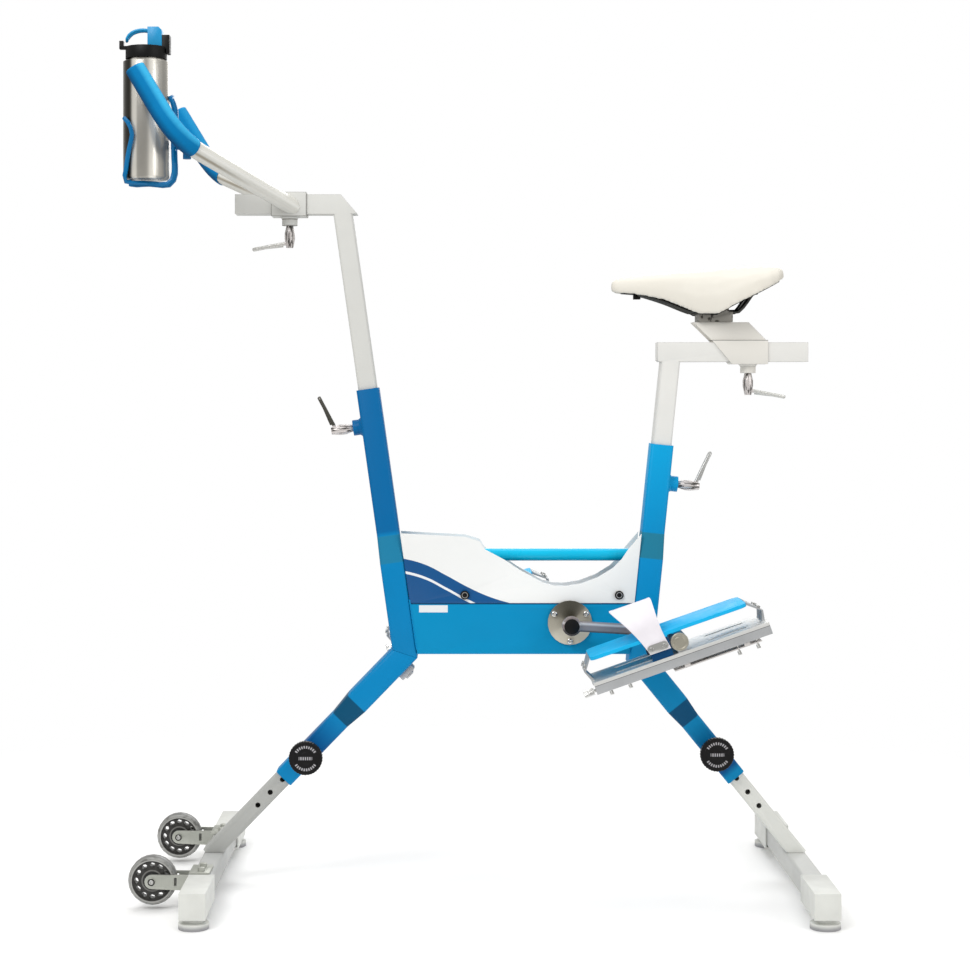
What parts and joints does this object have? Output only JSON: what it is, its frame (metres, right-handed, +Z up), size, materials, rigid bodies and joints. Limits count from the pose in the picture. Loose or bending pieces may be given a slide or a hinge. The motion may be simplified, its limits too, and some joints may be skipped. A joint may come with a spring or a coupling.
{
  "type": "aqua bike",
  "caption": "Pool exercise bike: box beam on telescopic legs, sliding saddle and handlebar masts, plate pedals with straps, transport wheels and a caged drinking bottle.",
  "frame": {"origin": "centre of the bounding box, on the floor", "axes": "+Z up, the rider faces -X, -Y is the rider's left"},
  "size_m": [1.0398, 0.576, 1.2965],
  "materials": {
    "blue_paint": "gloss",
    "white_paint": "satin",
    "cover_plastic": "gloss",
    "steel": "satin",
    "aluminium": "satin",
    "chrome": "polished",
    "dark_metal": "satin",
    "black_plastic": "matte",
    "light_blue": "matte",
    "grip_rubber": "matte",
    "wheel_rubber": "satin",
    "strap_rubber": "matte",
    "saddle_cover": "matte",
    "foot_plastic": "matte"
  },
  "bodies": {
    "frame": {"main_beam": "blue_paint", "front_post": "blue_paint", "rear_post": "blue_paint", "front_leg_sleeve": "blue_paint", "rear_leg_sleeve": "blue_paint", "top_bar": "blue_paint", "cover_left": "cover_plastic", "cover_right": "cover_plastic", "cover_bolt_front": "black_plastic", "cover_bolt_rear": "black_plastic", "bearing_left": "steel", "bearing_right": "steel"},
    "front_leg": {"front_leg_tube": "white_paint", "front_floor_bar": "white_paint", "front_foot_left": "foot_plastic", "front_foot_right": "foot_plastic", "wheel_fork_left": "steel", "wheel_fork_right": "steel"},
    "rear_leg": {"rear_leg_tube": "white_paint", "rear_floor_bar": "white_paint", "rear_foot_left": "foot_plastic", "rear_foot_right": "foot_plastic"},
    "front_pin": {"front_pin_knob": "black_plastic"},
    "rear_pin": {"rear_pin_knob": "black_plastic"},
    "left_wheel": {"wheel_left": "wheel_rubber"},
    "right_wheel": {"wheel_right": "wheel_rubber"},
    "crank": {"crank_axle": "dark_metal", "crank_left": "steel", "crank_right": "steel", "crank_cap_left": "black_plastic", "crank_cap_right": "black_plastic", "pedal_spindle_left": "steel", "pedal_spindle_right": "steel"},
    "left_pedal": {"pedal_body_left": "aluminium", "pedal_tread_left": "light_blue", "pedal_strap_left": "strap_rubber"},
    "right_pedal": {"pedal_body_right": "aluminium", "pedal_tread_right": "light_blue", "pedal_strap_right": "strap_rubber"},
    "handlebar_mast": {"handlebar_post": "white_paint"},
    "handlebars": {"handlebar_slider": "white_paint", "handlebar_left": "white_paint", "handlebar_right": "white_paint", "grip_left": "grip_rubber", "grip_right": "grip_rubber", "bottle_cage": "blue_paint"},
    "seat_mast": {"seat_post": "white_paint"},
    "seat": {"seat_slider": "white_paint", "saddle_clamp": "dark_metal", "saddle_rails": "dark_metal", "saddle_shell": "black_plastic", "saddle_pad": "saddle_cover"},
    "front_post_clamp": {"front_post_lever": "dark_metal"},
    "rear_post_clamp": {"rear_post_lever": "dark_metal"},
    "handlebar_clamp": {"handlebar_lever": "chrome"},
    "seat_clamp": {"seat_lever": "chrome"},
    "bottle": {"bottle": "steel"},
    "lid": {"bottle_lid": "black_plastic", "bottle_spout": "light_blue"}
  },
  "joints": [
    {"name": "front_leg_slide", "type": "slide", "parent": "frame", "child": "front_leg", "axis": [-0.6957, 0, -0.7184], "range_m": [-0.0819, 0.0546]},
    {"name": "rear_leg_slide", "type": "slide", "parent": "frame", "child": "rear_leg", "axis": [0.6301, 0, -0.7765], "range_m": [-0.0819, 0.0546]},
    {"name": "front_pin_pull", "type": "slide", "parent": "frame", "child": "front_pin", "axis": [0, -1, 0], "range_m": [0, 0.008], "stiffness_N_per_m": 800, "springref_m": -0.002},
    {"name": "rear_pin_pull", "type": "slide", "parent": "frame", "child": "rear_pin", "axis": [0, -1, 0], "range_m": [0, 0.008], "stiffness_N_per_m": 800, "springref_m": -0.002},
    {"name": "handlebar_height", "type": "slide", "parent": "frame", "child": "handlebar_mast", "axis": [-0.1402, 0, 0.9901], "range_m": [-0.12, 0.1]},
    {"name": "seat_height", "type": "slide", "parent": "frame", "child": "seat_mast", "axis": [0.1023, 0, 0.9948], "range_m": [-0.08, 0.08]},
    {"name": "handlebar_reach", "type": "slide", "parent": "handlebar_mast", "child": "handlebars", "axis": [1, 0, 0], "range_m": [-0.05, 0.03]},
    {"name": "seat_reach", "type": "slide", "parent": "seat_mast", "child": "seat", "axis": [1, 0, 0], "range_m": [-0.04, 0.05]},
    {"name": "front_post_lever_turn", "type": "hinge", "parent": "frame", "child": "front_post_clamp", "pos_m": [-0.18558, 0, 0.70601], "axis": [-0.9901, 0, -0.1402], "range_deg": [0, 120]},
    {"name": "rear_post_lever_turn", "type": "hinge", "parent": "frame", "child": "rear_post_clamp", "pos_m": [0.31686, 0, 0.61906], "axis": [0.9948, 0, -0.1023], "range_deg": [0, 120]},
    {"name": "handlebar_lever_turn", "type": "hinge", "parent": "handlebars", "child": "handlebar_clamp", "pos_m": [-0.2837, 0, 1.0192], "axis": [0, 0, -1], "range_deg": [0, 120]},
    {"name": "seat_lever_turn", "type": "hinge", "parent": "seat", "child": "seat_clamp", "pos_m": [0.4262, 0, 0.7912], "axis": [0, 0, -1], "range_deg": [0, 120]},
    {"name": "crank_spin", "type": "hinge", "parent": "frame", "child": "crank", "pos_m": [0.1485, 0, 0.408], "axis": [0, 1, 0], "continuous": true},
    {"name": "left_pedal_spin", "type": "hinge", "parent": "crank", "child": "left_pedal", "pos_m": [0.29824, 0, 0.3991], "axis": [0, 1, 0], "continuous": true},
    {"name": "right_pedal_spin", "type": "hinge", "parent": "crank", "child": "right_pedal", "pos_m": [-0.00124, 0, 0.4169], "axis": [0, 1, 0], "continuous": true},
    {"name": "left_wheel_spin", "type": "hinge", "parent": "front_leg", "child": "left_wheel", "pos_m": [-0.4739, -0.152, 0.0425], "axis": [0, 1, 0], "continuous": true},
    {"name": "right_wheel_spin", "type": "hinge", "parent": "front_leg", "child": "right_wheel", "pos_m": [-0.4739, 0.152, 0.0425], "axis": [0, 1, 0], "continuous": true},
    {"name": "bottle_lift", "type": "slide", "parent": "handlebars", "child": "bottle", "axis": [0, 0, 1], "range_m": [0, 0.2]},
    {"name": "lid_turn", "type": "hinge", "parent": "bottle", "child": "lid", "pos_m": [-0.4809, -0.172, 1.0731], "axis": [0, 0, 1], "range_deg": [0, 360]}
  ]
}
